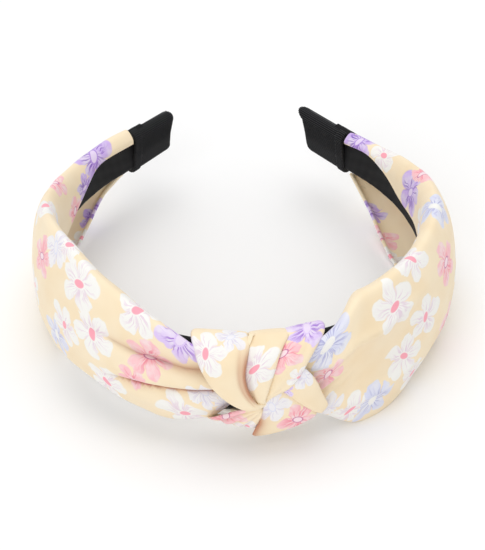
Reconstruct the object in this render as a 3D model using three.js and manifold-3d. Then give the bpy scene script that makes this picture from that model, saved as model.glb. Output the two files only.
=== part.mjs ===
// A knotted fabric headband: a springy plastic band sleeved in black satin, with ribbed ribbon caps on its
// two tips, and a wide printed sash that lies over the band's outer face and is knotted round its crown.
//
// Millimetres, +Z up. The headband lies on its lower edge, as on a shop table: the horseshoe is horizontal,
// the knot is at -Y, the tips point to +Y, and +X is to the right seen from the knot. The origin is under
// the middle of the whole headband, on the surface that it lies on.
//
// A place on the headband is given as (along, out, up): the distance along the band's centreline from the
// middle of the crown, positive to the right; the distance outwards from that centreline; and the height.
import * as THREE from "three";
import { mergeVertices } from "three/addons/utils/BufferGeometryUtils.js";
import Module from "manifold-3d";

// ---- Driving dimensions ----
const BAND_HALF_SPAN = 66; // centreline's half width, across the ears
const BAND_HALF_DEPTH = 64; // and half depth, from crown to nape, of the same ellipse
const BAND_TURN = THREE.MathUtils.degToRad(135); // how far the ellipse runs each way from the crown
const TIP_STRAIGHT = 30; // the straight stretch at each tip
const BAND_HEIGHT = 26.5; // height of the band's middle line
const CORE_THICK = 2.2;
const CORE_WIDTH_CROWN = 28;
const CORE_WIDTH_TIP = 15;
const GAP = 0.3; // between pieces that touch
const SATIN_THICK = 0.5;
const CAP_THICK = 0.8;
const CAP_LENGTH = 20;
const FLEX_LEFT = -21; // where the left arm flexes, beside the knot
const FLEX_RIGHT = 34;
const FLEX_SLOT = 1.4; // the slit that the band's sections keep there
const STRAND_THICK = 3; // a folded run of the sash in the knot
const SASH_THICK = 2.4; // the sash's two layers, where it lies loose
const SASH_TIP_THICK = 1.4; // and pulled tight at the tips
const LIP = 2.5; // the turned-in edges of the sash

const finish = (color, roughness) => new THREE.MeshStandardMaterial({ color, roughness, metalness: 0 });
const PLASTIC = finish(0xd9d6cf, 0.5);
const SATIN = finish(0x101214, 0.45);
const RIBBON = finish(0x0c0d0e, 0.85);
const PRINT = finish(0xf6dfb0, 0.75);

const wasm = await Module();
wasm.setup();

// ---- The band's centreline ----
// An ellipse's arc with a straight stretch on each end. t runs from 0 at the left tip to 1 at the right one.
class BandLine extends THREE.Curve {
  getPoint(t, target = new THREE.Vector3()) {
    const side = t < 0.5 ? -1 : 1;
    const share = Math.abs(2 * t - 1); // 0 at the crown, 1 at a tip
    const arcShare = 0.84; // of the parameter; getPointAt evens the spacing out
    const angle = BAND_TURN * Math.min(share / arcShare, 1);
    const run = TIP_STRAIGHT * Math.max((share - arcShare) / (1 - arcShare), 0);
    const [across, along] = [BAND_HALF_SPAN * Math.cos(BAND_TURN), BAND_HALF_DEPTH * Math.sin(BAND_TURN)];
    const way = new THREE.Vector2(across, along).normalize();
    const x = BAND_HALF_SPAN * Math.sin(angle) + way.x * run;
    const y = -BAND_HALF_DEPTH * Math.cos(angle) + way.y * run;
    return target.set(side * x, y, 0);
  }
}
const band = new BandLine();
band.arcLengthDivisions = 2000;
const BAND_LENGTH = band.getLength();
const TIP_AT = BAND_LENGTH / 2;

// A place on the headband in the part's own axes.
function place(along, out, up) {
  const u = THREE.MathUtils.clamp(along / BAND_LENGTH + 0.5, 0, 1);
  const point = band.getPointAt(u);
  const tangent = band.getTangentAt(u);
  return new THREE.Vector3(point.x + tangent.y * out, point.y - tangent.x * out, up);
}

// ---- Making solids ----
// A closed solid through rings of the same number of points, with flat ends cut as the given outline is.
function loft(rings, outline) {
  const count = outline.length;
  const points = rings.flat();
  const faces = [];
  for (let i = 0; i + 1 < rings.length; i++) {
    for (let j = 0; j < count; j++) {
      const [a, b] = [i * count + j, i * count + ((j + 1) % count)];
      faces.push(a, b, b + count, a, b + count, a + count);
    }
  }
  const last = (rings.length - 1) * count;
  for (const [a, b, c] of THREE.ShapeUtils.triangulateShape(outline, [])) {
    faces.push(a, c, b, last + a, last + b, last + c);
  }
  const geometry = new THREE.BufferGeometry().setFromPoints(points).setIndex(faces);
  return facingOut(geometry);
}

// The same closed geometry with its faces turned outwards.
function facingOut(geometry) {
  const { index, attributes } = geometry;
  const corner = [0, 1, 2].map(() => new THREE.Vector3());
  let volume = 0;
  for (let i = 0; i < index.count; i += 3) {
    corner.forEach((v, k) => v.fromBufferAttribute(attributes.position, index.getX(i + k)));
    volume += corner[0].dot(corner[1].clone().cross(corner[2]));
  }
  if (volume < 0) {
    for (let i = 0; i < index.count; i += 3) {
      const first = index.getX(i);
      index.setX(i, index.getX(i + 1));
      index.setX(i + 1, first);
    }
  }
  return geometry;
}

function solidOf(geometry) {
  const bare = new THREE.BufferGeometry();
  bare.setAttribute("position", geometry.getAttribute("position"));
  if (geometry.index) bare.setIndex(geometry.index);
  const merged = mergeVertices(bare, 1e-4);
  const vertProperties = merged.attributes.position.array;
  const triVerts = new Uint32Array(merged.index.array);
  return new wasm.Manifold(new wasm.Mesh({ numProp: 3, vertProperties, triVerts }));
}

function geometryOf(solid) {
  const mesh = solid.getMesh();
  const geometry = new THREE.BufferGeometry();
  geometry.setAttribute("position", new THREE.BufferAttribute(new Float32Array(mesh.vertProperties), 3));
  geometry.setIndex(new THREE.BufferAttribute(new Uint32Array(mesh.triVerts), 1));
  return geometry;
}

// The solid without the cutters. A cut can leave crumbs beside a thin edge, so the largest body is the piece.
function trimmed(solid, cutters) {
  const cut = cutters.reduce((left, cutter) => left.subtract(cutter), solid);
  return cut.decompose().reduce((best, body) => (body.volume() > best.volume() ? body : best));
}

function spaced(from, to, step) {
  const count = Math.max(1, Math.ceil(Math.abs(to - from) / step));
  return Array.from({ length: count + 1 }, (_, i) => from + ((to - from) * i) / count);
}

// ---- The band: core, satin sleeve and ribbon caps ----
const swell = (along) => 0.5 + 0.5 * Math.cos((Math.PI * along) / TIP_AT); // 1 at the crown, 0 at the tips
const coreWidth = (along) => THREE.MathUtils.lerp(CORE_WIDTH_TIP, CORE_WIDTH_CROWN, swell(along));

// A strip along the band that stands off the core's surface by skin all round.
function bandStrip(from, to, skin) {
  const rings = spaced(from, to, 6).map((along) => {
    const half = coreWidth(along) / 2 + skin;
    const thick = CORE_THICK / 2 + skin;
    const corner = thick * 0.6; // chamfered edges
    const outline = [
      [thick, -half + corner], [thick, half - corner], [thick - corner, half], [corner - thick, half],
      [-thick, half - corner], [-thick, -half + corner], [corner - thick, -half], [thick - corner, -half],
    ];
    return outline.map(([out, up]) => place(along, out, BAND_HEIGHT + up));
  });
  const flat = [[3, -1], [3, 1], [2, 2], [-2, 2], [-3, 1], [-3, -1], [-2, -2], [2, -2]];
  return loft(rings, flat.map(([x, y]) => new THREE.Vector2(x, y)));
}

const SLEEVE_INSIDE = GAP;
const SLEEVE_OUTSIDE = SLEEVE_INSIDE + SATIN_THICK;
const CAP_INSIDE = SLEEVE_OUTSIDE + GAP;
const CAP_OUTSIDE = CAP_INSIDE + CAP_THICK;
const CORE_END = TIP_AT - CAP_THICK - 2 * GAP; // the core's tip, inside the cap's closed end
const CAP_MOUTH = TIP_AT - CAP_LENGTH;
const CUT_PAST = 5; // how far a cutter runs past what it cuts
const ROUNDING = 1e-9;

function sleeve(from, to) {
  const middle = (from + to) / 2;
  const stretch = (end) => end + Math.sign(end - middle) * CUT_PAST;
  const inside = solidOf(bandStrip(limited(stretch(from)), limited(stretch(to)), SLEEVE_INSIDE));
  return geometryOf(trimmed(solidOf(bandStrip(from, to, SLEEVE_OUTSIDE)), [inside]));
}

// A cutter may not run past the end of the centreline, where every place is the same.
const limited = (along) => THREE.MathUtils.clamp(along, -TIP_AT, TIP_AT);

function tipCap(side) {
  const outside = solidOf(bandStrip(side * CAP_MOUTH, side * TIP_AT, CAP_OUTSIDE));
  const pocket = solidOf(bandStrip(side * (CAP_MOUTH - CUT_PAST), side * (TIP_AT - CAP_THICK), CAP_INSIDE));
  return geometryOf(trimmed(outside, [pocket]));
}

// ---- The sash's two side panels ----
// Each row says how the sash hangs at one place: how far that is of the way from the knot to the cap, the
// height of its top and lower edges, how far it bulges out, where its turned-in top edge ends on the inner
// side, and how far out its lower lip ends.
const LEFT_PANEL = [
  { share: 0, top: 46.5, low: 7, bulge: 9, fold: 42, lip: 3 },
  { share: 0.1, top: 52, low: 9, bulge: 9, fold: 43, lip: 3 },
  { share: 0.2, top: 57.5, low: 10.5, bulge: 9, fold: 40, lip: 3 },
  { share: 0.3, top: 61, low: 9, bulge: 9, fold: 32, lip: 0 },
  { share: 0.4, top: 58.5, low: 4, bulge: 9, fold: 24, lip: -5 },
  { share: 0.5, top: 52.5, low: 0, bulge: 8.5, fold: 18, lip: -7 },
  { share: 0.62, top: 45.5, low: 0, bulge: 7.5, fold: 15, lip: -7 },
  { share: 0.74, top: 40, low: 0, bulge: 6.5, fold: 16, lip: -5 },
  { share: 0.84, top: 38, low: 4.5, bulge: 5.5, fold: 26, lip: 0 },
  { share: 0.92, top: 37, low: 10.5, bulge: 4.5, fold: 34.5, lip: 3 },
  { share: 1, top: 36.5, low: 13.5, bulge: 4, fold: 35, lip: 3 },
];
const RIGHT_PANEL = [
  { share: 0, top: 48.5, low: 3, bulge: 9, fold: 43, lip: 5 },
  { share: 0.07, top: 52, low: 0, bulge: 10, fold: 42, lip: 6 },
  { share: 0.14, top: 52.5, low: 0, bulge: 10, fold: 38, lip: 5 },
  { share: 0.22, top: 52.5, low: 2, bulge: 9.5, fold: 32, lip: 2 },
  { share: 0.32, top: 52, low: 2.5, bulge: 9, fold: 24, lip: -3 },
  { share: 0.42, top: 52, low: 0, bulge: 8.5, fold: 20, lip: -6 },
  { share: 0.52, top: 50, low: 0, bulge: 8, fold: 17, lip: -7 },
  { share: 0.62, top: 47, low: 0, bulge: 7.5, fold: 15, lip: -7 },
  { share: 0.73, top: 42.5, low: 0, bulge: 6.5, fold: 16, lip: -5 },
  { share: 0.84, top: 38.5, low: 4.5, bulge: 5.5, fold: 26, lip: 0 },
  { share: 0.92, top: 37, low: 10.5, bulge: 4.5, fold: 34.5, lip: 3 },
  { share: 1, top: 36.5, low: 13.5, bulge: 4, fold: 35, lip: 3 },
];

// The panel's sizes at one share of its length, between the rows on a smooth curve.
function hang(rows, share) {
  const i = Math.max(1, rows.findIndex((row) => row.share >= share - ROUNDING));
  const [a, b] = [rows[i - 1], rows[i]];
  const [before, after] = [rows[Math.max(i - 2, 0)], rows[Math.min(i + 1, rows.length - 1)]];
  const t = (share - a.share) / (b.share - a.share);
  const [t2, t3] = [t * t, t * t * t];
  const sizes = {};
  for (const key of ["top", "low", "bulge", "fold", "lip"]) {
    const [m0, m1] = [(b[key] - before[key]) / 2, (after[key] - a[key]) / 2];
    const values = a[key] + (b[key] - a[key]) * (3 * t2 - 2 * t3);
    sizes[key] = values + m0 * (t3 - 2 * t2 + t) + m1 * (t3 - t2);
  }
  sizes.low = Math.max(sizes.low, 0);
  return sizes;
}

// The panel's section as a closed outline of [out, up]: a C that hooks over the band's top edge and turns in
// below.
function panelSection(rows, share, at) {
  const { top, low, bulge, fold, lip } = hang(rows, share);
  const tight = THREE.MathUtils.smoothstep(share, 0.62, 0.92); // 1 where it is pulled over the tip
  const thick = THREE.MathUtils.lerp(SASH_THICK, SASH_TIP_THICK, tight);
  const half = thick / 2;
  const bandHalf = coreWidth(at) / 2 + SLEEVE_OUTSIDE + GAP;
  const clear = CORE_THICK / 2 + SLEEVE_OUTSIDE + GAP + half; // the sash's middle comes no nearer the band's
  const roomBelow = Math.max(BAND_HEIGHT - bandHalf - thick - low, 0);
  const lipOut = Math.max(lip, clear - 4 * roomBelow); // it passes under the band only where there is room
  const foot = Math.max(lipOut + LIP, clear);
  const outer = Math.max(bulge - half, clear);
  const shoulder = Math.max(outer * 0.8, foot);
  const height = top - low;
  const roof = Math.max(top - half, BAND_HEIGHT + bandHalf + half);
  const bevel = 1.4;
  const path = [
    [lipOut, low + half],
    [foot, low + half],
    [shoulder, low + 0.2 * height],
    [outer, low + 0.5 * height],
    [Math.max(outer * 0.8, clear), top - 0.22 * height],
    [clear, roof - bevel],
    [clear - bevel, roof],
    [bevel - clear, roof],
    [-clear, roof - bevel],
    [-clear, Math.min(fold, roof - 2 * bevel)],
  ];
  const middle = path.map(([x, y]) => new THREE.Vector2(x, y));
  const normals = middle.map((p, i) => {
    const [from, to] = [middle[Math.max(i - 1, 0)], middle[Math.min(i + 1, middle.length - 1)]];
    const way = to.clone().sub(from).normalize();
    return new THREE.Vector2(way.y, -way.x);
  });
  normals[0].set(0, -1); // the underside is flat
  const side = (sign) => middle.map((p, i) => p.clone().addScaledVector(normals[i], sign * half));
  const outside = side(1);
  outside[1].y = low;
  return [...outside, ...side(-1).reverse()];
}

function panel(rows, side, flex) {
  const [from, to] = [Math.abs(flex), CAP_MOUTH - GAP];
  const rings = spaced(from, to, 5).map((at) => {
    return panelSection(rows, (at - from) / (to - from), at).map((p) => place(side * at, p.x, p.y));
  });
  return loft(rings, panelSection(rows, 0.5, (from + to) / 2));
}

// ---- The knot's runs ----
// A smooth curve through places [along, out, up].
function railCurve(places) {
  const points = places.map((p) => new THREE.Vector3(...p));
  return new THREE.CatmullRomCurve3(points, false, "centripetal");
}

// A run of the folded sash between two rails. grow makes it larger all round.
function strand(rails, grow = 0) {
  const [left, right] = rails.map(railCurve);
  const sides = 12;
  const flat = (v) => Math.sign(v) * Math.abs(v) ** 0.6; // a flattened round
  const outline = Array.from({ length: sides }, (_, k) => {
    const angle = (2 * Math.PI * k) / sides;
    return new THREE.Vector2(flat(Math.cos(angle)), flat(Math.sin(angle)));
  });
  const steps = rails[0].length * 2;
  const rings = [];
  for (let i = 0; i <= steps; i++) {
    const t = i / steps;
    const [a, b] = [left.getPoint(t), right.getPoint(t)];
    const middle = a.clone().lerp(b, 0.5);
    const across = b.sub(a);
    const halfWidth = across.length() / 2 + grow;
    across.normalize();
    const along = left.getTangent(t).add(right.getTangent(t)).normalize();
    const outward = new THREE.Vector3().crossVectors(across, along).normalize();
    if (i === 0) middle.addScaledVector(along, -grow);
    if (i === steps) middle.addScaledVector(along, grow);
    const halfThick = STRAND_THICK / 2 + grow;
    rings.push(
      outline.map(({ x, y }) => {
        const p = middle.clone().addScaledVector(across, halfWidth * x);
        p.addScaledVector(outward, halfThick * y);
        return place(p.x, p.y, p.z);
      }),
    );
  }
  return loft(rings, outline);
}

// The three wraps run from the pinch up the front, over the band's top edge, down the inner side and under.
const INNER = -(CORE_THICK / 2 + SLEEVE_OUTSIDE + GAP + STRAND_THICK / 2); // a run's middle on the inner side
const CLEAR_HALF = CORE_WIDTH_CROWN / 2 + SLEEVE_OUTSIDE + GAP + STRAND_THICK / 2;
const OVER = BAND_HEIGHT + CLEAR_HALF;
const UNDER = BAND_HEIGHT - CLEAR_HALF;
const roundTheBand = (along) => [
  [along, 5, OVER - 1],
  [along, 0, OVER],
  [along, INNER, OVER - 3],
  [along, INNER, BAND_HEIGHT],
  [along, INNER, UNDER + 3],
  [along, 0, UNDER],
];
const KNOT = {
  knot_left_wrap: [
    [[4.5, 11.5, 23], [0, 10.5, 21.5], [-8, 8.5, 27], [-13, 8.5, 39], ...roundTheBand(-16)],
    [[6, 12, 25], [3.1, 11.5, 30], [2.2, 11, 35], [1.6, 10, 40], ...roundTheBand(2.4)],
  ],
  knot_middle_wrap: [
    [[6.8, 12, 25.5], [4.4, 11.5, 31], [3.2, 10.5, 39], ...roundTheBand(3.4)],
    [[8, 12, 26], [9.6, 11.5, 31], [11.6, 10.5, 38], ...roundTheBand(15.4)],
  ],
  knot_right_wrap: [
    [[9, 12, 27], [11.4, 11.5, 33], [13.8, 10.5, 40], ...roundTheBand(16.8)],
    [[13.4, 12, 31], [18.2, 11, 36.5], [22.5, 9.5, 41.5], ...roundTheBand(28.8)],
  ],
  knot_right_tuck: [
    [[13.7, 10.5, 30.5], [18, 9.5, 25], [22.5, 8.5, 19.5], [27, 7, 15]],
    [[20.8, 8.5, 37], [24.5, 8.5, 32], [27, 8, 26.5], [29, 7, 18]],
  ],
  knot_lower_fold: [
    [[8.8, 12, 23.5], [8, 11, 16], [5.2, 8.5, 8]],
    [[13, 11.5, 28.5], [18, 9.5, 21.5], [22, 7, 12.5]],
  ],
  knot_left_tuck: [
    [[4.5, 10, 20.5], [-1, 9, 17.5], [-7, 7, 12]],
    [[6.8, 10, 20.5], [5.8, 9, 15], [4, 7.5, 9]],
  ],
};
// What the wraps go round in front of the band: the sash's own run from one panel to the other.
const THROUGH_RUN = [
  [[-13, -INNER, 14], [8, -INNER, 12], [26, -INNER, 14]],
  [[-13, -INNER, 37], [8, -INNER, 39], [26, -INNER, 38]],
];

// Every run is cut by the runs that lie over it, and by the sleeved band that it goes round.
function knotGeometries() {
  const reach = [FLEX_LEFT + CUT_PAST / 2, FLEX_RIGHT - CUT_PAST / 2];
  const cutters = [solidOf(bandStrip(...reach, SLEEVE_OUTSIDE + GAP))];
  const made = {};
  for (const [name, rails] of Object.entries({ ...KNOT, knot_through_run: THROUGH_RUN })) {
    made[name] = geometryOf(trimmed(solidOf(strand(rails)), cutters));
    cutters.push(solidOf(strand(rails, GAP)));
  }
  return made;
}

// ---- The assembly ----
function mesh(name, geometry, material) {
  geometry.computeVertexNormals();
  const made = new THREE.Mesh(geometry, material);
  made.name = name;
  return made;
}

const half = FLEX_SLOT / 2;
const crown = new THREE.Group();
crown.add(
  mesh("crown_core", bandStrip(FLEX_LEFT + half, FLEX_RIGHT - half, 0), PLASTIC),
  mesh("crown_satin_sleeve", sleeve(FLEX_LEFT + half, FLEX_RIGHT - half), SATIN),
  ...Object.entries(knotGeometries()).map(([name, geometry]) => mesh(name, geometry, PRINT)),
);

function arm(side, word, flex, rows) {
  const group = new THREE.Group();
  const start = flex + side * half;
  group.add(
    mesh(word + "_arm_core", bandStrip(start, side * CORE_END, 0), PLASTIC),
    mesh(word + "_satin_sleeve", sleeve(start, side * CORE_END), SATIN),
    mesh(word + "_tip_cap", tipCap(side), RIBBON),
    mesh(word + "_sash_panel", panel(rows, side, flex), PRINT),
  );
  return group;
}

const headband = new THREE.Group();
headband.name = "knotted_headband";
headband.add(crown, arm(-1, "left", FLEX_LEFT, LEFT_PANEL), arm(1, "right", FLEX_RIGHT, RIGHT_PANEL));

// The origin goes under the middle of the headband, on the surface that it lies on.
const box = new THREE.Box3().setFromObject(headband, true);
headband.position.set(-(box.min.x + box.max.x) / 2, -(box.min.y + box.max.y) / 2, -box.min.z);

export default headband;
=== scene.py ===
"""Printed cloth headband with a turned knot, sewn over a satin band with ribbon caps.

Lengths in the shape tables are millimetres. A place on the band is (along, out, up):
along is measured round the band from its middle, left negative, out is away from the
head, and up is the height.
"""

import math

import bpy
import numpy as np
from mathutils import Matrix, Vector


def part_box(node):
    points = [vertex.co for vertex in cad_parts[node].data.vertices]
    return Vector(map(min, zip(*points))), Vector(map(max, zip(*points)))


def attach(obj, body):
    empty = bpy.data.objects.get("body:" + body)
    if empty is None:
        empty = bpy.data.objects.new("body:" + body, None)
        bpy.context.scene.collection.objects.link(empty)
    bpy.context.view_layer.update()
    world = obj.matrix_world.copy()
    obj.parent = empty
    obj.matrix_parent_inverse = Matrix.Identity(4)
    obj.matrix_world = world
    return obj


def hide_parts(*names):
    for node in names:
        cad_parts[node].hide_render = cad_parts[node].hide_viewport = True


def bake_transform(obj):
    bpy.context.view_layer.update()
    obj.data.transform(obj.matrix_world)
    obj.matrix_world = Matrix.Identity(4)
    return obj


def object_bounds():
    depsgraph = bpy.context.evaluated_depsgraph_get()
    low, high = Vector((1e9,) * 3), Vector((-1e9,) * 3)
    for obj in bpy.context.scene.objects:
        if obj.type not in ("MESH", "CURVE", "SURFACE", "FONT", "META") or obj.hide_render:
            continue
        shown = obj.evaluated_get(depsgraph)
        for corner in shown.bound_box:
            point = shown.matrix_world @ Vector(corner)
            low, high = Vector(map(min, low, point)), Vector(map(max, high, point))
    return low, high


bl_info = {
    "name": "Knotted Cloth Headband",
    "version": (1, 0, 0),
    "blender": (4, 5, 0),
    "location": "3D View > Sidebar > Headband",
    "description": "Builds the cloth, satin and ribbon of a headband round its frame",
    "category": "Add Mesh",
}

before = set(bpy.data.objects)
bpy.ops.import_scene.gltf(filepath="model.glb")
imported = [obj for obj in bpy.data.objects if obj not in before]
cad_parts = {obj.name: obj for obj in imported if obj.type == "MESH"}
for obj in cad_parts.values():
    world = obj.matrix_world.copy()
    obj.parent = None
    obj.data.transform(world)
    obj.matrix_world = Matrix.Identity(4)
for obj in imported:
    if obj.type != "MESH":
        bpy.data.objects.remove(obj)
CAD_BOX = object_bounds()

MM = 0.001
BAND_TURN = math.radians(135)
BAND_END = 182.66
MIDDLE_HEIGHT = 26.5
CORE_FRONT = 1.1
CROWN_HALF_HEIGHT = 14.8
TIP_HALF_HEIGHT = 8.3
SATIN_HALF_DEPTH = 1.9
CAP_MOUTH = 162.7
# two places along the band for each arm, passed with the satin and panels but not used to bend
# them
FLEX_SPAN = {"left": (-14, -32), "right": (26, 44)}
SIDES = {"left": -1, "right": 1}
# the point that the camera looks at
STAGE_TARGET = (0.00133, -0.00814, 0.024)


def srgb(red, green, blue):
    """The linear colour of three levels that run from 0 to 255."""
    levels = np.array([red, green, blue]) / 255
    return tuple(float(v) for v in np.where(levels < 0.04, levels / 12.92,
                                            ((levels + 0.055) / 1.055) ** 2.4))


def length_property(name, text, default, **limits):
    """A length in metres with its unit shown."""
    return bpy.props.FloatProperty(name=name, description=text, default=default,
                                   subtype="DISTANCE", unit="LENGTH", precision=4,
                                   **limits)


def colour_property(name, text, *levels):
    """A colour whose default is given as three levels from 0 to 255."""
    return bpy.props.FloatVectorProperty(name=name, description=text, subtype="COLOR",
                                         size=3, min=0, max=1, default=srgb(*levels))


class HeadbandSizes(bpy.types.PropertyGroup):
    half_span: length_property("Half span", "Half the width across the band", 0.066)
    half_depth: length_property("Half depth", "Half the depth of the curve", 0.064)
    cloth_wall: length_property("Cloth wall", "Thickness of the doubled cloth", 0.0012)
    satin_wall: length_property("Satin wall", "Thickness of the satin", 0.0005)
    rib_pitch: length_property("Rib pitch", "Distance between ribbon ribs", 0.00075)
    rib_depth: length_property("Rib depth", "Height of a ribbon rib", 0.00016)
    puff: bpy.props.FloatProperty(name="Puff", description="Fullness of the knot",
                                  default=1.0, min=0, max=2, subtype="FACTOR")


class HeadbandColours(bpy.types.PropertyGroup):
    cream: colour_property("Cream", "Ground of the print", 249, 232, 201)
    deep_cream: colour_property("Deep cream", "Darker part of the ground", 246, 225, 189)
    white: colour_property("White", "White petals", 246, 245, 241)
    blush: colour_property("Blush", "Centres of the white flowers", 253, 170, 186)
    coral: colour_property("Coral", "Coral petals", 252, 196, 202)
    lilac: colour_property("Lilac", "Lilac petals", 224, 202, 246)
    periwinkle: colour_property("Periwinkle", "Blue petals", 221, 224, 245)
    # painted shade: the warm colour that the cloth is darkened towards deep in folds, along
    # pleat lines and at shaded edges
    fold_shade: colour_property("Fold shade", "Warm tint deep in a fold", 196, 140, 122)
    satin: colour_property("Satin", "Dark lining satin", 13, 13, 15)
    ribbon: colour_property("Ribbon", "Ribbed ribbon", 10, 10, 12)


class HeadbandStage(bpy.types.PropertyGroup):
    distance: length_property("Camera distance", "From camera to headband", 0.9)
    elevation: bpy.props.FloatProperty(
        name="Elevation", description="Camera height above the horizon",
        default=math.radians(42), subtype="ANGLE", unit="ROTATION")
    lens: bpy.props.FloatProperty(name="Lens", description="Focal length",
                                  default=171.7, subtype="DISTANCE_CAMERA",
                                  unit="CAMERA")
    floor: colour_property("Floor", "Colour of the floor", 250, 250, 250)
    key: bpy.props.FloatProperty(name="Key light", description="Power of the top light",
                                 default=4.1, min=0, subtype="POWER", unit="POWER")
    room: bpy.props.FloatProperty(name="Room light", description="Strength of the room",
                                  default=0.735, min=0)


def sizes():
    """The lengths that the panel shows."""
    return bpy.context.scene.headband_sizes


def colours():
    """The colours that the panel shows."""
    return bpy.context.scene.headband_colours


# ---------------------------------------------------------------- shapes


def smoothstep(low, high, value):
    """Runs from 0 at low to 1 at high along t * t * (3 - 2 * t)."""
    t = np.clip((value - low) / (high - low), 0, 1)
    return t * t * (3 - 2 * t)


def through(knots, values, at):
    """A cubic Hermite curve through the rows of values, whose slope at each row is the
    slope between its neighbours."""
    knots, values = np.asarray(knots, float), np.asarray(values, float)
    slope = np.gradient(values, knots, axis=0)
    i = np.clip(np.searchsorted(knots, at, side="right") - 1, 0, len(knots) - 2)
    width = knots[i + 1] - knots[i]
    t = (at - knots[i]) / width
    spread = (-1,) + (1,) * (values.ndim - 1)
    t, width = t.reshape(spread), width.reshape(spread)
    return ((2 * t**3 - 3 * t**2 + 1) * values[i]
            + (t**3 - 2 * t**2 + t) * width * slope[i]
            + (3 * t**2 - 2 * t**3) * values[i + 1]
            + (t**3 - t**2) * width * slope[i + 1])


def plan_shift():
    """How far the frame's plan lies from the curve's own middle."""
    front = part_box("crown_core")[0].y / MM
    left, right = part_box("left_tip_cap")[0].x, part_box("right_tip_cap")[1].x
    return (left + right) / 2 / MM, front + sizes().half_depth / MM + CORE_FRONT


def on_band(along, out, up):
    """The middle line is an ellipse for 135 degrees to each side of the front, and then
    runs straight. A place is that line plus out times its outward direction."""
    a, b = sizes().half_span / MM, sizes().half_depth / MM
    turn = np.linspace(0, BAND_TURN, 2001)
    step = np.hypot(a * np.cos(turn), b * np.sin(turn))
    length = np.concatenate([[0], np.cumsum((step[1:] + step[:-1]) / 2) * turn[1]])
    along, out, up = np.broadcast_arrays(along, out, up)
    sign = np.sign(along)
    angle = np.interp(np.abs(along), length, turn) * sign
    past = np.maximum(np.abs(along) - length[-1], 0) * sign
    tx, ty = a * np.cos(angle), b * np.sin(angle)
    size = np.hypot(tx, ty)
    tx, ty = tx / size, ty / size
    shift = plan_shift()
    x = a * np.sin(angle) + past * tx + out * ty + shift[0]
    y = -b * np.cos(angle) + past * ty - out * tx + shift[1]
    return np.stack([x, y, up + 0 * x], -1)


def normals(points):
    """The cross product of a grid's two directions, of unit length."""
    cross = np.cross(np.gradient(points, axis=0), np.gradient(points, axis=1))
    return cross / np.maximum(np.linalg.norm(cross, axis=-1, keepdims=True), 1e-9)


def arc_length(points, axis):
    """Distance walked along one direction of a grid."""
    step = np.linalg.norm(np.diff(points, axis=axis), axis=-1)
    walked = np.cumsum(step, axis=axis)
    first = np.zeros_like(np.take(walked, [0], axis=axis))
    return np.concatenate([first, walked], axis=axis)


def soften(values, rounds):
    """Averages each row of a grid with its neighbours, some rounds over."""
    for _ in range(rounds):
        padded = np.concatenate([values[:1], values, values[-1:]])
        values = (padded[:-2] + 2 * padded[1:-1] + padded[2:]) / 4
    return values


def ring_mesh(name, rings, weave, tint=None, flowers=()):
    """Closed rings joined one to the next, with each end closed by a ladder of faces
    between its two sides. weave is the place on the flat cloth, one column longer than
    the rings, and each flower is (a, b, radius, kind, turn) there."""
    rows, count = rings.shape[:2]
    i, j = np.meshgrid(np.arange(rows - 1), np.arange(count), indexing="ij")
    ci = np.stack([i, i + 1, i + 1, i], -1).reshape(-1, 4)
    cj = np.stack([j, j, j + 1, j + 1], -1).reshape(-1, 4)
    half = (count - 2) // 2
    k = np.arange(half)
    ladder = np.stack([k, k + 1, 2 * half - k - 1, 2 * half - k], -1)
    ladder = ladder[:-1] if half > 1 else ladder
    ears = np.array([[half - 1, half, half + 1, half + 1],
                     [2 * half, 2 * half + 1, 0, 0]])
    for row, flip in ((0, 1), (rows - 1, -1)):
        for part in (ladder, ears):
            ci = np.concatenate([ci, np.full(part.shape, row)])
            cj = np.concatenate([cj, part[:, ::-flip]])
    vertex = ci * count + cj % count
    points = rings.reshape(-1, 3) * MM
    corner = points[vertex]
    volume = np.einsum("ij,ij->i", corner[:, 0], np.cross(corner[:, 1], corner[:, 2]))
    volume += np.einsum("ij,ij->i", corner[:, 0], np.cross(corner[:, 2], corner[:, 3]))
    if volume.sum() < 0:
        vertex, ci, cj = vertex[:, ::-1], ci[:, ::-1], cj[:, ::-1]
    cloth = weave[ci, cj]
    repeated = vertex == np.roll(vertex, 1, axis=1)
    faces = [[v for v, twice in zip(face, again) if not twice] if again.any() else face
             for face, again in zip(vertex.tolist(), repeated)]
    mesh = bpy.data.meshes.new(name)
    mesh.from_pydata(points.tolist(), [], faces)
    keep = ~repeated.reshape(-1)
    add_uv(mesh, "weave", cloth.reshape(-1, 2)[keep] * MM)
    bloom, kind = print_places(cloth, flowers)
    add_uv(mesh, "bloom", bloom.reshape(-1, 2)[keep])
    add_uv(mesh, "kind", kind.reshape(-1, 2)[keep])
    # the fold attribute carries painted shade from tint, which the cloth material multiplies
    # into its colour
    shade = mesh.attributes.new("fold", "FLOAT", "POINT")
    tint = np.zeros(rings.shape[:2]) if tint is None else tint
    shade.data.foreach_set("value", tint.reshape(-1).astype(np.float32))
    mesh.shade_smooth()
    mesh.validate()
    piece = bpy.data.objects.new(name, mesh)
    bpy.context.scene.collection.objects.link(piece)
    return piece


def add_uv(mesh, name, places):
    """A named UV map with one place for each face corner."""
    layer = mesh.uv_layers.new(name=name)
    layer.data.foreach_set("uv", np.ascontiguousarray(places, np.float32).reshape(-1))


# how many radii a flower's places reach, its drawn size over its listed radius, the
# place given to bare cloth, and the steps of the kind ramp
REACH = 1.3
BLOOM_SCALE = 1.14
FAR = 9.0
KIND_STEPS = 8


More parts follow.
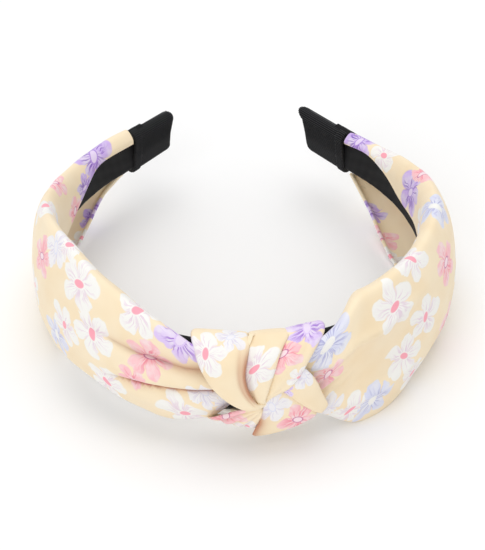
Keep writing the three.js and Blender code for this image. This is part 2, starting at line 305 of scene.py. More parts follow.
def print_places(cloth, flowers):
    """Each face takes the nearest flower, by distance over radius, and its corners get
    their place in that flower's own turned axes, and its kind and seed."""
    bloom = np.full(cloth.shape, FAR)
    kind = np.zeros(cloth.shape)
    if not len(flowers):
        return bloom, kind
    f = np.asarray(flowers, float)
    centre = cloth.mean(axis=1)
    away = np.hypot(centre[:, None, 0] - f[None, :, 0],
                    centre[:, None, 1] - f[None, :, 1]) / f[None, :, 2]
    owner = away.argmin(axis=1)
    near = away.min(axis=1) < REACH
    mine = f[owner]
    dx = (cloth[..., 0] - mine[:, None, 0]) / mine[:, None, 2]
    dy = (cloth[..., 1] - mine[:, None, 1]) / mine[:, None, 2]
    turn = np.radians(mine[:, 4])[:, None]
    local = np.stack([dx * np.cos(turn) + dy * np.sin(turn),
                      dy * np.cos(turn) - dx * np.sin(turn)], -1)
    bloom[near] = local[near]
    kind[near, :, 0] = ((mine[:, 3] + 0.5) / KIND_STEPS)[near, None]
    kind[near, :, 1] = ((owner * 0.37 + 0.11) % 1)[near, None]
    return bloom, kind


def cloth_rings(front, back):
    """Front and back surfaces joined into rings, with a rounded edge on each side."""
    wall = np.linalg.norm(front - back, axis=-1, keepdims=True)
    middle = (front + back) / 2

    def edge(side, inner):
        outward = middle[:, side] - middle[:, inner]
        outward /= np.maximum(np.linalg.norm(outward, axis=-1, keepdims=True), 1e-9)
        return middle[:, side] + outward * wall[:, side] / 2

    far, near = edge(-1, -3), edge(0, 2)
    return np.concatenate([front, far[:, None], back[:, ::-1], near[:, None]], axis=1)


def ring_weave(a, b):
    """The flat place of each ring point, the same on the cloth's two faces, and the
    first place again at the end."""
    ring = np.stack([ring_tint(a), ring_tint(b)], -1)
    return np.concatenate([ring, ring[:, -1:]], axis=1)


def ring_tint(tint):
    """A sheet's values carried round its front, far edge, back and near edge."""
    return np.concatenate([tint, tint[:, -1:], tint[:, ::-1], tint[:, :1]], axis=1)


def cut_size(a, b, spare):
    """The rectangle that a strip is cut from, with spare width for its pleats, and the
    area of the strip itself."""
    widths = np.ptp(b, axis=1) * spare * MM
    length = float(np.ptp(a)) * MM
    return (float(widths.max()), length), float(widths.mean()) * length


def finish_piece(piece, material, replaced, body=None, blend=None):
    """Gives a piece its material and slot, hides the nodes it replaces, and hangs it on its
    body's empty; a piece given a blend is only baked in place.
    """
    piece.data.materials.append(material)
    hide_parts(*replaced)
    if blend:
        arm, start, end = blend
        point_at(start)
        point_at(end)
        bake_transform(piece)
    else:
        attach(piece, body)


def join_to(piece, other):
    """Adds another mesh to a piece, so that both are one cloth."""
    with bpy.context.temp_override(active_object=piece, object=piece,
                                   selected_editable_objects=[piece, other]):
        bpy.ops.object.join()


def point_at(along):
    """A point of the band's middle line, in metres."""
    return tuple(on_band(float(along), 0.0, MIDDLE_HEIGHT) * MM)


# ---------------------------------------------------------------- cloth panels

# along, top, low, out, fold, leg, lip
LEFT_PANEL = np.array([
    (0, 36, 20.5, 5.8, 33, 3, 3.2), (4, 37, 16.5, 6.4, 34, 3, 3.2),
    (8, 38.5, 12.5, 7, 35, 3, 3.2), (14, 42.2, 10.2, 8, 38.5, 3, 3.2),
    (19, 45.6, 9, 8.5, 42.5, 3, 3.2), (24, 47.8, 8.6, 8.8, 44.5, 2, 3.2),
    (30, 49.4, 9.6, 8.8, 44.5, -0.5, 3.2), (39, 51.4, 11.1, 8.6, 43.5, -3.2, 3.3),
    (50, 54.8, 12.4, 8.2, 42, -3.4, 3.5), (57, 56.8, 12.2, 7.4, 39, -3.4, 3.2),
    (64, 57.7, 10.4, 6.4, 34, -3.4, 2.6), (72, 57.3, 7.2, 5.8, 29, -3.4, 0.8),
    (82, 54.9, 3.8, 5.3, 25, -3.4, -3), (95, 50.0, 1.4, 4.8, 21, -3.4, -4.2),
    (108, 45, 0.5, 4.6, 18.6, -3.4, -4.6), (121, 40.2, 0.2, 4.4, 19.2, -3.3, -3.8),
    (132, 37.4, 1.5, 4.4, 23.8, -3.2, -2), (142, 36.5, 5, 4.2, 31, -3.1, -0.4),
    (152, 36.2, 10.5, 4, 32.2, -3, 1.4), (162.3, 35.8, 13.5, 3.8, 31.8, -3, 3)])

RIGHT_PANEL = np.array([
    (20, 37.5, 12, 6.5, 34, 3, 3.2), (25, 41, 9.5, 7.5, 37.5, 3, 3.4),
    (29, 43.6, 7, 8.2, 40.5, 3, 4), (32, 46.2, 4.5, 8.8, 43.3, 3, 4.6),
    (34.5, 49, 2.5, 9.2, 46.5, 2.2, 5), (37, 51, 1, 9.6, 47.8, 0.5, 5.2),
    (42, 52, 0, 10, 46, -3, 5.4), (49, 52.2, 0, 10, 42, -3.4, 5),
    (56, 52.6, 1.2, 9.7, 37, -3.4, 3.6), (64, 52, 2.5, 9.3, 31, -3.4, 1.5),
    (73, 51.6, 2.5, 9.1, 28, -3.4, -1.5), (85, 51.2, 1, 8.8, 28, -3.4, -4.4),
    (97, 50, 0, 8.4, 28.5, -3.4, -6.2), (110, 47, 0, 7.7, 27.6, -3.4, -6.9),
    (121, 43.4, 0, 6.8, 26.2, -3.3, -7.3), (132, 40.2, 1.5, 5.8, 26.8, -3.2, -7.3),
    (142, 37.2, 5, 5, 31, -3.1, -5.6), (152, 35.4, 10.5, 4.4, 33.2, -3, -3.2),
    (162.3, 34.2, 13.5, 3.8, 32, -3, 1)])

ALONG_STEP = 0.8
ACROSS = 110
CORNERS = 12
# shares count the section's corners: the crest, and where the folds fade in and out
CREST_AT = 8.0
FACE_IN = (2.6, 3.6)
FACE_OUT = (8.2, 7.2)
# cloth length over band length
EASE = 1.12


def panel_polygon(shape):
    """Twelve corners of a section, from the lip under the band, round the front, over
    the crest and down the inner side."""
    top, low, out, fold, leg, lip = shape.T
    height = top - low
    crest = leg + 0.4 * (out - leg)
    turn = np.minimum(4.0, (top - fold) / 2)
    outs = [lip, lip + 1, (lip + out) / 2, 0.85 * out, 1.04 * out, out, 0.75 * out,
            crest + 1.5, crest - 0.3, leg, leg, leg]
    ups = [low + 2.2, low + 0.2, low - 0.1, low + 0.12 * height, low + 0.35 * height,
           low + 0.6 * height, top - 0.2 * height, top - 0.04 * height, top + 0.6,
           top - turn, (top - turn + fold) / 2, fold]
    return np.stack([np.stack(outs, -1), np.stack(ups, -1)], -1)


def spline_weights(corners, count):
    """Uniform cubic B-spline weights on the corners and two phantom ones, each twice an
    end corner less its neighbour, so that the curve reaches both ends."""
    t = np.linspace(0, corners - 1, count)
    i = np.minimum(t.astype(int), corners - 2)
    f = t - i
    basis = np.stack([(1 - f)**3, 3 * f**3 - 6 * f**2 + 4,
                      -3 * f**3 + 3 * f**2 + 3 * f + 1, f**3], -1) / 6
    weights = np.zeros((count, corners + 2))
    for step in range(4):
        weights[np.arange(count), i + step] += basis[:, step]
    ends = np.zeros((corners + 2, corners))
    ends[1:-1] = np.eye(corners)
    ends[0, :2] = ends[-1, :-3:-1] = (2, -1)
    return t, weights @ ends


def pressed_fold(along, up, line, grown, depth, above, below):
    """A pressed-in line: depth times a bell that is wide above the line and narrow
    below it, growing from nothing at grown[0] to full at grown[1]."""
    line = np.array(line, float)
    height = np.interp(along, line[:, 0], line[:, 1])
    away = up - height
    width = np.where(away > 0, above, below)
    bell = np.exp(-np.abs(away / width)**1.4)
    return -depth * smoothstep(grown[0], grown[1], along) * bell


def left_folds(along, up):
    """Two lines that deepen towards the knot, with a full roll between them, and painted shade
    that darkens the cloth along both lines.
    """
    first = pressed_fold(along, up, [(-58, 39), (-44, 37), (-36, 35.8), (-30, 34.6),
                                     (-24, 34), (-16, 32.2), (-4, 31)],
                         (-62, -24), 3.3, 4.6, 0.9)
    second = pressed_fold(along, up, [(-52, 17.5), (-43, 19.6), (-37, 21.2), (-31, 22.6),
                                      (-24, 23.9), (-17, 24.3), (-4, 24.2)],
                          (-56, -28), 2.9, 2.2, 0.8)
    roll = 1.1 * smoothstep(-50, -20, along) * np.exp(-((up - 28) / 3.0)**2)
    lower = 0.8 * smoothstep(-46, -18, along) * np.exp(-((up - 18) / 4.5)**2)
    # tint is painted shade, darkest in the two pressed lines
    tint = 0.6 * np.clip(-first / 3.3, 0, 1)**1.4 + 1.5 * np.clip(-second / 2.9, 0, 1)**2.4
    return first + second + roll + lower, tint


def right_folds(along, up):
    """A flat, slightly hollow facet between two soft ridges, with small gathers beside the
    knot, and painted shade that darkens the facet."""
    low = np.interp(along, [28, 34, 40.5, 48.5, 58.4, 66.6],
                    [14.7, 12.9, 14.1, 14.8, 15.4, 13.7])
    high = np.interp(along, [29, 36.5, 45, 53.5, 66], [31.9, 38.7, 38.8, 40.9, 41])
    fade = smoothstep(78, 46, along)
    share = np.clip((up - low) / (high - low), 0, 1)
    hollow = -2.3 * np.sin(np.pi * share)**0.7
    ridge = 1.1 * np.exp(-((up - low) / 1.6)**2) + 0.9 * np.exp(-((up - high) / 1.6)**2)
    gather = 0.5 * np.sin((up - 0.9 * (along - 26)) * 1.5)
    gather = gather * smoothstep(40, 29, along) * np.exp(-((up - 22) / 7)**2)
    # tint is painted shade over the hollow facet
    tint = 0.14 * fade * smoothstep(0, 0.16, share) * smoothstep(1, 0.93, share)
    tint = tint * smoothstep(26, 34, along) * (0.65 + 0.35 * share)
    return fade * (hollow + ridge) + gather, tint


# a print row is along, up, radius, kind, turn and part, and the parts are the face, the
# inner leg and the lower lip, each a range of the section's corners
PRINT_PARTS = ((3.0, 8.4), (8.4, 11.1), (-0.1, 2.2))
WHITE, CORAL, LILAC, BLUE, VIOLET, PALE = 1, 2, 3, 4, 5, 6
LEFT_PRINT = [
    (-54.5, 50.5, 8.6, WHITE, 20, 0), (-59, 31, 7.6, WHITE, 70, 0),
    (-46.6, 36.3, 8.0, WHITE, 130, 0), (-32, 52, 8.2, WHITE, 30, 0),
    (-17, 45.5, 8.6, LILAC, 60, 0), (-27.3, 34.5, 7.6, CORAL, 10, 0),
    (-31, 25, 5.6, CORAL, 200, 0), (-41.6, 15, 7.4, WHITE, 150, 0),
    (-16, 11.5, 8.4, WHITE, 45, 0), (-10.6, 23.5, 5.6, PALE, 0, 0),
    (-4, 20, 5.2, PALE, 100, 0), (-66, 19, 7.6, BLUE, 80, 0),
    (-77.5, 44, 7.4, CORAL, 20, 0), (-70, 54, 7.4, PALE, 120, 0),
    (-64.6, 62, 5.8, WHITE, 200, 0), (-96, 50, 7.6, WHITE, 0, 0),
    (-88, 22, 8.0, WHITE, 30, 0), (-108, 20, 8.0, CORAL, 90, 0),
    (-130, 20, 8.0, BLUE, 10, 0), (-118, 40, 6.4, CORAL, 110, 0),
    (-143, 36, 9.0, VIOLET, 40, 1), (-134, 28, 5.6, VIOLET, 200, 1),
    (-126, 23, 6.2, CORAL, 60, 1), (-97, 38, 7.2, PALE, 10, 1),
    (-84, 44, 7.0, WHITE, 140, 1), (-70, 48, 7.0, CORAL, 70, 1),
    (-140, 14.8, 5.6, VIOLET, 0, 2), (-133, 7.4, 5.6, WHITE, 40, 2)]
RIGHT_PRINT = [
    (51, 43.6, 9.0, WHITE, 20, 0), (65, 30.4, 8.0, WHITE, 80, 0),
    (54, 21, 8.0, WHITE, 140, 0), (27.5, 40, 8.4, BLUE, 30, 0),
    (42, 11, 8.0, BLUE, 90, 0), (27.0, 27.2, 5.6, CORAL, 45, 0),
    (32.4, 5.9, 7.0, WHITE, 10, 0), (82, 13, 7.0, CORAL, 70, 0),
    (60, 6, 6.6, WHITE, 220, 0), (81.5, 39, 7.4, CORAL, 20, 0),
    (66, 52, 7.6, WHITE, 110, 0), (26, 10.7, 5.0, PALE, 0, 0),
    (95, 50, 7.6, BLUE, 60, 0), (98, 22, 8.0, WHITE, 30, 0),
    (114, 16, 8.0, BLUE, 10, 0), (130, 22, 8.0, WHITE, 80, 0),
    (120, 44, 6.4, CORAL, 110, 0), (120, 36.3, 9.4, VIOLET, 40, 1),
    (100, 38, 7.0, WHITE, 120, 1), (143, 37, 6.4, WHITE, 0, 1),
    (156, 36.8, 6.4, VIOLET, 70, 1), (80, 42, 7.0, PALE, 30, 1),
    (146, 13, 5.4, VIOLET, 0, 2), (136, 8, 6.0, CORAL, 30, 2),
    (126, 2.5, 6.0, WHITE, 40, 2)]


def place_flower(along, up, allowed, flower, a, b):
    """Turns a flower's place on the band into its place on the flat cloth, which is that
    of the nearest allowed point."""
    at, height, radius, kind, turn = flower
    away = (along - at)**2 + (up - height)**2 + np.where(allowed, 0, 1e6)
    place = np.unravel_index(away.argmin(), away.shape)
    return a[place], b[place], radius * BLOOM_SCALE, kind, turn


def make_panel(name, side, rows, folds, flowers, wall):
    """A doubled strip of cloth: the section's spline carried along the band, pressed in
    at its folds, and given two faces half a wall to each side."""
    along = np.arange(rows[0, 0], rows[-1, 0] + 0.01, ALONG_STEP)
    share, weights = spline_weights(CORNERS, ACROSS)
    section = np.einsum("vk,ukc->uvc", weights,
                        panel_polygon(through(rows[:, 0], rows[:, 1:], along)))
    out, up = section[..., 0], section[..., 1]
    signed = (side * along)[:, None] + 0 * up
    face = smoothstep(*FACE_IN, share) * smoothstep(*FACE_OUT, share)
    # folds give the pressed-in depth and the painted shade of the folds
    depth, tint = folds(signed, up)
    ripple = 0.16 * np.sin(0.31 * signed + 0.9 * np.sin(0.11 * up))
    ripple = ripple * np.sin(0.23 * up + 1.3 + 0.05 * signed)
    points = on_band(signed, out, up)
    normal = normals(points)
    outward = on_band(signed, out + 1, up) - points
    facing = np.einsum("uvc,uvc->uv", normal, outward)[:, int(ACROSS * 0.45)].mean()
    normal *= np.sign(facing)
    points = points + normal * ((depth * face + ripple)[..., None])
    normal = normals(points) * np.sign(facing)
    b = arc_length(points, 1)
    b = b - b[:, [int(ACROSS * CREST_AT / (CORNERS - 1))]]
    a = signed * EASE
    half = wall / 2
    front, back = points + normal * half, points - normal * half
    front[..., 2], back[..., 2] = np.maximum(front[..., 2], 0), np.maximum(back[..., 2], 0)
    placed = [place_flower(signed, up, (share >= PRINT_PARTS[part][0])
                           & (share < PRINT_PARTS[part][1]), flower, a, b)
              for *flower, part in flowers]
    piece = ring_mesh(name, cloth_rings(front, back), ring_weave(a, b),
                      ring_tint(tint * face), placed)
    return piece, cut_size(a, b, 1.0)


# ---------------------------------------------------------------- knot strands

def down_inside(left, right):
    """Stations over the top edge, down the inner side and under the band."""
    places = [(0, 44.0), (-3.2, 42.4), (-4.1, 38), (-4.1, 26), (-4.0, 15), (-2.6, 10.6),
              (1.5, 9.8)]
    return [[(along, out, up) for out, up in places] for along in (left, right)]


def wrap_rails(left, right, left_end, right_end):
    """Two rails up the front that go on over the top edge and down the inner side."""
    over_left, over_right = down_inside(left_end, right_end)
    return left + over_left, right + over_right


# rails: stations (along, out, up) of the two edges; crown and wall: puff and thickness
#  by station; flowers: (along, up, radius, kind, turn), up negative on the inner side;
#  lines: pleats (share, depth, width), each also painted darker; painted_edge_shade: painted
#      shade
#  along the two edges; node: the frame's own solid for it
STRANDS = {
    "left_wrap_cloth": dict(
        rails=wrap_rails(
            [(7.2, 11.2, 22.2), (2.6, 12.3, 22.0), (-1.1, 12.2, 23.8), (-5.4, 11.4, 27.7),
             (-8.6, 10.6, 32.5), (-11.2, 8.8, 37.8), (-13.4, 5.2, 42.4), (-14.6, 2.4, 43.6)],
            [(7.8, 12.0, 24.0), (5.4, 12.9, 24.4), (3.7, 12.6, 27.2), (2.3, 12.0, 31),
             (1.6, 11.2, 35.6), (2.0, 9.4, 40.2), (2.8, 6.0, 43.4), (3.1, 2.8, 44.5)],
            -15.2, 2.8),
        crown=[0.3, 0.8, 1.2, 1.5, 1.6, 1.5, 1.2, 0.7], wall=[1.4, 1.8, 2.2, 2.4, 2.4],
        flowers=[(-9.5, 41.5, 7.0, WHITE, 10), (-2.5, 49, 5.0, PALE, 60),
                 (-8, -30, 7.0, CORAL, 30), (-6, -12, 7.0, WHITE, 80)],
        lines=[(0.86, 0.45, 0.05)],
        painted_edge_shade=(0.0, 0.8), node="knot_left_wrap"),
    "middle_wrap_cloth": dict(
        rails=wrap_rails(
            [(6.6, 10.4, 21.6), (4.6, 10.9, 24.4), (2.8, 10.2, 27.8), (1.6, 9.5, 32),
             (1.0, 8.8, 36), (1.8, 7.4, 40), (2.9, 5.2, 42.8), (3.4, 2.4, 43.9)],
            [(8.4, 11.2, 23.5), (7.3, 12.6, 26.2), (8.3, 12.2, 31), (9.3, 11.7, 35.6),
             (10.3, 10.6, 39), (11.6, 8.4, 42), (13.4, 5.4, 43.6), (15.4, 2.4, 44.2)],
            3.6, 16.0),
        crown=[0.2, 0.6, 0.9, 1.2, 1.3, 1.3, 1.0, 0.6], wall=[1.4, 1.8, 2.0, 2.2, 2.2],
        flowers=[(4.6, 38.1, 7.6, WHITE, 50), (9, -30, 7.0, BLUE, 30)],
        lines=[(0.22, 0.3, 0.10)], painted_edge_shade=(0.55, 0.0), node="knot_middle_wrap"),
    "right_wrap_cloth": dict(
        rails=wrap_rails(
            [(6.6, 10.4, 23.6), (7.4, 10.8, 26.4), (8.3, 10.4, 30.6), (9.3, 10.0, 35.0),
             (10.4, 8.6, 38.6), (12.6, 6.6, 41.4), (14.0, 4.2, 43.0), (15.4, 2.0, 43.7)],
            [(7.2, 11.4, 25.2), (9.6, 12.2, 27.9), (13.4, 12.3, 29.9), (16.2, 11.8, 32.8),
             (18.6, 10.6, 36.6), (21.0, 8.8, 39.6), (24.2, 5.8, 41.8), (27.4, 2.6, 43.0)],
            15.8, 28.4),
        crown=[0.2, 0.6, 0.9, 1.2, 1.3, 1.2, 0.9, 0.5], wall=[1.2, 1.5, 1.8, 2.0, 2.0],
        flowers=[(12.8, 41.0, 6.6, CORAL, 30), (22.5, 46.0, 7.6, LILAC, 10),
                 (18.0, 33.5, 3.6, WHITE, 80), (22, -28, 7.0, WHITE, 60)],
        lines=[(0.7, 0.25, 0.12)], node="knot_right_wrap"),
    "right_tuck_cloth": dict(
        rails=([(10.8, 10.2, 29.3), (13.0, 11.4, 28.0), (15.7, 12.1, 24.8),
                (18.4, 12.4, 21.4), (21.0, 12.2, 18.2), (23.4, 11.6, 15.6), (24.8, 9.6, 14.0)],
               [(16.6, 9.2, 37.0), (18.9, 10.0, 35.6), (21.0, 10.5, 32.4), (22.7, 10.8, 28.4),
                (24.2, 11.0, 23.4), (25.8, 11.0, 18.4), (26.4, 9.4, 16.0)]),
        crown=[0.2, 0.6, 0.8, 0.8, 0.6, 0.4, 0.2], wall=[1.2, 1.5, 1.6, 1.6, 1.2],
        flowers=[(18.4, 33.6, 4.6, PALE, 0), (12.8, 28.6, 3.0, LILAC, 0)],
        node="knot_right_tuck"),
    "lower_fold_cloth": dict(
        rails=([(7.3, 11.0, 26.4), (7.0, 12.4, 21.8), (6.2, 12.2, 16.6), (4.9, 11.2, 12.0),
                (4.2, 9.9, 8.0), (5.6, 7.0, 6.0), (7.0, 4.4, 6.6)],
               [(12.2, 9.8, 29.4), (15.4, 10.4, 26.0), (19.0, 10.6, 21.4), (21.6, 10.8, 17.4),
                (22.6, 10.4, 14.0), (22.0, 7.6, 12.6), (21.0, 5.0, 13.0)]),
        crown=[0.2, 0.7, 1.2, 1.4, 1.2, 0.7, 0.3], wall=[1.2, 1.5, 1.7, 1.7, 1.4],
        flowers=[(9.2, 23.0, 6.2, PALE, 0), (16.8, 15.2, 6.6, CORAL, 50)],
        painted_edge_shade=(0.85, 0.0), node="knot_lower_fold"),
    "left_tuck_cloth": dict(
        rails=([(5.8, 11.6, 23.0), (2.6, 11.8, 21.8), (-0.8, 11.3, 20.2), (-4.4, 10.2, 17.4),
                (-8.0, 8.2, 13.8), (-9.4, 6.0, 11.8), (-9.0, 4.2, 11.4)],
               [(7.2, 11.2, 21.2), (6.8, 11.8, 19.0), (6.2, 11.4, 16.6), (5.4, 10.8, 13.8),
                (4.6, 9.6, 11.0), (4.2, 7.0, 9.4), (4.0, 4.6, 9.4)]),
        crown=[0.2, 0.6, 0.8, 0.8, 0.6, 0.3, 0.2], wall=[1.0, 1.3, 1.5, 1.5, 1.2],
        flowers=[(-3.5, 17.5, 6.2, CORAL, 30), (2.6, 13.0, 4.4, WHITE, 60)],
        lines=[(0.25, 0.7, 0.09), (0.5, 0.6, 0.08), (0.75, 0.5, 0.08)],
        painted_edge_shade=(0.3, 0.0), node="knot_left_tuck"),
    "through_run_cloth": dict(
        rails=([(0.5, 6.4, 22.0), (7.0, 7.4, 16.0), (13.0, 7.8, 13.4), (19.0, 8.8, 13.0),
                (25.0, 9.4, 14.0)],
               [(-1.5, 6.4, 38.0), (6.0, 6.8, 38.5), (13.0, 6.6, 36.0), (19.0, 5.0, 32.0),
                (25.0, 4.6, 26.0)]),
        crown=[0.4, 0.8, 0.8, 0.6, 0.4], wall=[1.4, 1.4, 1.4, 1.4, 1.4],
        flowers=[(26, 12, 4.0, PALE, 0)], node="knot_through_run"),
}
STRAND_ACROSS = 44
STRAND_STEPS = 9
FRONT_STATIONS = 6
PUFF_POWER = 0.55
PLEAT_SPARE = 1.2
INNER_SIDE = -2


def make_strand(name, facts, puff):
    """Two rails joined by straight lines that puff outwards by
    crown * (4 * v * (1 - v)) ** PUFF_POWER, with pressed pleats at set shares of v, painted
    shade in each pleat, and painted shade along the edges that painted_edge_shade names."""
    left, right = (np.array(rail, float) for rail in facts["rails"])
    stations = np.arange(len(left))
    at = np.linspace(0, len(left) - 1, (len(left) - 1) * STRAND_STEPS + 1)
    left, right = through(stations, left, at), through(stations, right, at)
    v = np.linspace(0, 1, STRAND_ACROSS)
    local = left[:, None] * (1 - v)[:, None] + right[:, None] * v[:, None]
    points = on_band(local[..., 0], local[..., 1], local[..., 2])
    normal = soften(normals(points), 3)
    outward = on_band(local[..., 0], local[..., 1] + 1, local[..., 2]) - points
    front_rows = slice(0, FRONT_STATIONS * STRAND_STEPS)
    facing = np.einsum("uvc,uvc->uv", normal, outward)[front_rows].mean()
    normal *= np.sign(facing)
    knots = np.linspace(0, min(len(stations) - 1, len(facts["crown"]) - 1),
                        len(facts["crown"]))
    crown = np.interp(at, knots, facts["crown"]) * puff
    wall = np.interp(at, np.arange(len(facts["wall"])), facts["wall"])
    bulge = (4 * v * (1 - v))**PUFF_POWER
    lift = crown[:, None] * bulge
    # tint is painted shade: darker in each pleat line and, by painted_edge_shade, along the
    # two edges
    tint = np.zeros_like(lift)
    grown = (smoothstep(0, 2, at) * smoothstep(8.5, 4, at))[:, None]
    for share, depth, width in facts.get("lines", ()):
        bell = np.exp(-((v - share) / width)**2)
        lift = lift - depth * grown * bell
        tint = tint + 0.5 * depth * grown * bell
    near, far = facts.get("painted_edge_shade", (0.0, 0.0))
    middle = (smoothstep(0.4, 2.5, at) * smoothstep(7.2, 4.5, at))[:, None]
    tint = tint + middle * (near * np.exp(-v / 0.12) + far * np.exp((v - 1) / 0.12))
    front = points + normal * lift[..., None]
    back = points - normal * (wall[:, None] * (0.35 + 0.65 * bulge))[..., None]
    a, b = arc_length(points, 0), arc_length(points, 1)
    b = b - b[:, [STRAND_ACROSS // 2]]
    a = a.mean(axis=1, keepdims=True) + 0 * b
    inside = local[..., 1] < INNER_SIDE
    placed = [place_flower(local[..., 0], local[..., 2], inside == (up < 0),
                           (along, abs(up), *rest), a, b)
              for along, up, *rest in facts["flowers"]]
    piece = ring_mesh(name, cloth_rings(front, back), ring_weave(a, b), ring_tint(tint),
                      placed)
    return piece, cut_size(a, b, PLEAT_SPARE)


# ---------------------------------------------------------------- satin and caps


def stadium(half_out, half_up, count):
    """A ring with two straight sides and round ends, in equal steps of its length, that
    starts just past the bottom."""
    half_out, half_up = np.atleast_1d(half_out), np.atleast_1d(half_up)
    straight = 2 * (half_up - half_out)
    total = 2 * straight + 2 * math.pi * half_out
    p = (np.arange(count) + 1)[None, :] / count * total[:, None]
    quarter = (math.pi * half_out / 2)[:, None]
    half_out, straight, total = half_out[:, None], straight[:, None], total[:, None]
    mirrored = np.minimum(p, total - p)
    side = np.where(p <= total / 2, 1.0, -1.0)
    low = mirrored < quarter
    high = mirrored > quarter + straight
    angle = np.where(low, mirrored, mirrored - straight) / half_out
    out = np.where(low | high, np.sin(angle), 1.0) * half_out * side
    up = np.where(low | high, -np.cos(angle) * half_out, mirrored - quarter - straight / 2)
    up = up + np.where(low, -straight / 2, 0) + np.where(high, straight / 2, 0)
    return out, up, p


def band_half_height(along):
    """Half the band's height, easing from the crown to the tips by half a cosine."""
    swell = 0.5 + 0.5 * np.cos(math.pi * along / BAND_END)
    return TIP_HALF_HEIGHT + (CROWN_HALF_HEIGHT - TIP_HALF_HEIGHT) * swell


SATIN_RING = 72
SATIN_ROWS = 190
SATIN_END = CAP_MOUTH + 6
# what the rounded edges add to four half heights
SATIN_EDGES = 4


def make_satin(name, side):
    """Rings round the band: an inner skin from the tip to the crown and an outer skin
    back again, with faint slanted creases that are finer near the tips. The two halves
    meet at the crown's middle."""
    wall = sizes().satin_wall / MM
    along = np.linspace(0.0, SATIN_END, SATIN_ROWS)
    order = np.concatenate([along[::-1], along])
    inner = (np.arange(len(order)) < len(along)).astype(float)
    half_up = band_half_height(order) - inner * wall
    half_out = SATIN_HALF_DEPTH - inner * wall
    out, up, p = stadium(half_out, half_up, SATIN_RING)
    place = order[:, None]
    crease = 0.07 * np.sin(0.55 * place + 0.9 * up) * np.sin(0.21 * place - 0.4 * up)
    near_tip = smoothstep(120, 160, place)
    crease = crease + 0.05 * np.sin(1.7 * place + 0.35 * up) * near_tip
    out = out + np.sign(out) * crease * np.clip(np.abs(out), 0, 1)
    rings = on_band(side * place, out, up + MIDDLE_HEIGHT)
    across = np.concatenate([p, p[:, -1:] * 1.02], 1)
    piece = ring_mesh(name, rings, np.stack(np.broadcast_arrays(place, across), -1))
    girth = 4 * band_half_height(along).mean() + SATIN_EDGES
    return piece, ((float(girth) * MM, SATIN_END * MM), None)


CAP_HALF_DEPTH = 2.85
CAP_WALL = 0.75
CAP_INSIDE_END = 181.4
CAP_EDGE = 180.6
CAP_END = 182.7
HEM = 3.5
CAP_LEAN = 1.2
RIBBON_ROUND = 45
RIB_POINTS = 5
STITCHES = 18


def make_cap(name, side, ends, top_drop, bottom_rise):
    """A ribbed ribbon pocket: rings from inside the tip out to the mouth and back along
    the outside, with a turned hem at the mouth and rounded edges at the tip. Its top
    drops and its bottom rises by straight lines from the mouth to the tip, its top leans
    towards the head, and ends is how far its end reaches at five heights."""
    low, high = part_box(name.replace("_ribbon", "_cap"))
    half_up = (high.z - low.z) / 2 / MM - 0.1
    middle = (high.z + low.z) / 2 / MM
    pitch = sizes().rib_pitch / MM
    inside = np.linspace(CAP_INSIDE_END, CAP_MOUTH, 14)
    outside = np.concatenate([
        np.linspace(CAP_MOUTH, CAP_MOUTH + 4, 20),
        np.linspace(CAP_MOUTH + 4.3, CAP_EDGE, 28),
        CAP_END - 2.0 * (1 - np.linspace(0, 1, 9)[1:])**2])
    place = np.concatenate([inside, outside])
    outer = np.arange(len(place)) >= len(inside)
    tip = np.clip((place - CAP_EDGE) / (CAP_END - CAP_EDGE), 0, 1)
    round_off = 1.5 * (1 - np.sqrt(np.clip(1 - tip**2, 0, 1)))
    past = place - CAP_MOUTH
    hem = 0.45 * smoothstep(HEM + 0.1, 2.9, past) * smoothstep(-0.2, 0.5, past)
    groove = -0.22 * np.exp(-((past - HEM) / 0.3)**2)
    grow = np.where(outer, hem + groove - round_off, -CAP_WALL)
    ribs = int(round(RIBBON_ROUND / pitch))
    out, up, p = stadium(CAP_HALF_DEPTH + grow, half_up + grow,
                         2 * (ribs * RIB_POINTS // 2))
    share = p / p[:, -1:]
    rib = sizes().rib_depth / MM * np.cos(2 * math.pi * ribs * share)
    rib = rib * (outer * (1 - tip))[:, None]
    stitch = (0.3 * np.exp(-((past - HEM) / 0.25)**2) * outer)[:, None]
    stitch = stitch * np.clip(np.sin(2 * math.pi * STITCHES * share) * 2, 0, 1)
    raised = rib + stitch
    scale = 1 + raised / np.maximum(np.hypot(out, up), 1)
    out = out + np.sign(out) * raised * np.clip(np.abs(out), 0, 1)
    up = up * scale
    out = out - CAP_LEAN * up / half_up
    reach = np.interp(up / half_up, [-1, -0.6, 0, 0.7, 1], ends)
    stretch = smoothstep(CAP_MOUTH + 8, 182, place)[:, None]
    share_up = (up / half_up + 1) / 2
    drop = np.interp(place, (CAP_MOUTH, CAP_END), top_drop)[:, None] * share_up
    rise = np.interp(place, (CAP_MOUTH, CAP_END), bottom_rise)[:, None] * (1 - share_up)
    rings = on_band(side * (place[:, None] + reach * stretch), out,
                    up + middle - drop + rise)
    weave = np.stack([place[:, None] + 0 * reach, share * ribs * pitch], -1)
    weave = np.concatenate([weave, weave[:, -1:] + (0, pitch / RIB_POINTS)], axis=1)
    return ring_mesh(name, rings, weave), ((0.046, 0.0215), None)


ROLL_ROWS = 30
ROLL_RING = 26
ROLL_PATH = [(3.2, 4.2, 43.9), (3.5, 2.8, 44.9), (4.0, 1.4, 45.2), (4.9, 0.6, 44.8)]


